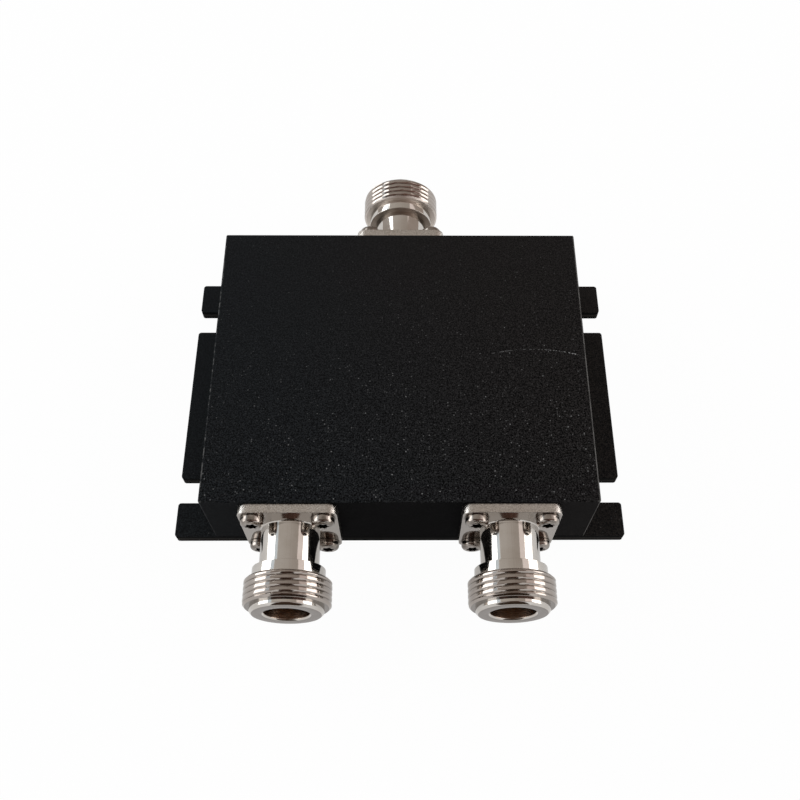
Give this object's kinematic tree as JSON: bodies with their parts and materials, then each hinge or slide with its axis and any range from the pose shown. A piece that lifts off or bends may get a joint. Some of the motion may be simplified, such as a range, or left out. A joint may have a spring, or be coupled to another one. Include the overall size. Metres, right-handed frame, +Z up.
{
  "type": "rf power splitter",
  "caption": "Flat black aluminium coaxial power splitter with notched mounting ears, a threaded input jack at the rear and threaded output jacks at the front.",
  "frame": {"origin": "middle of the base plate's underside, which is the bottom centre of the whole part", "axes": "+Z up out of the roof, -Y to the front with the two output jacks, +X to the right seen from the front"},
  "size_m": [0.0874, 0.0942, 0.0206],
  "materials": {
    "blasted_black": "sand-blasted and black anodised",
    "plate_black": "black anodised sheet",
    "nickel_plate": "turned brass, bright nickel plate",
    "screw_steel": "plated steel",
    "white_fluoropolymer": "waxy white",
    "gold_plate": "gold plate",
    "board_laminate": "glass-filled laminate",
    "board_copper": "etched copper",
    "resistor_ceramic": "coated ceramic chip",
    "solder": "reflowed solder"
  },
  "bodies": {
    "root": {"housing": "blasted_black", "base_plate": "plate_black", "base_plate_screws": "screw_steel", "divider_board": "board_laminate", "copper_tracks": "board_copper", "isolation_resistors": "resistor_ceramic", "solder_beads": "solder", "board_screws": "screw_steel", "input_jack_shell": "nickel_plate", "input_jack_insulator": "white_fluoropolymer", "input_jack_contact": "gold_plate", "input_flange_screws": "screw_steel", "left_jack_shell": "nickel_plate", "left_jack_insulator": "white_fluoropolymer", "left_jack_contact": "gold_plate", "left_flange_screws": "screw_steel", "right_jack_shell": "nickel_plate", "right_jack_insulator": "white_fluoropolymer", "right_jack_contact": "gold_plate", "right_flange_screws": "screw_steel"}
  },
  "joints": []
}
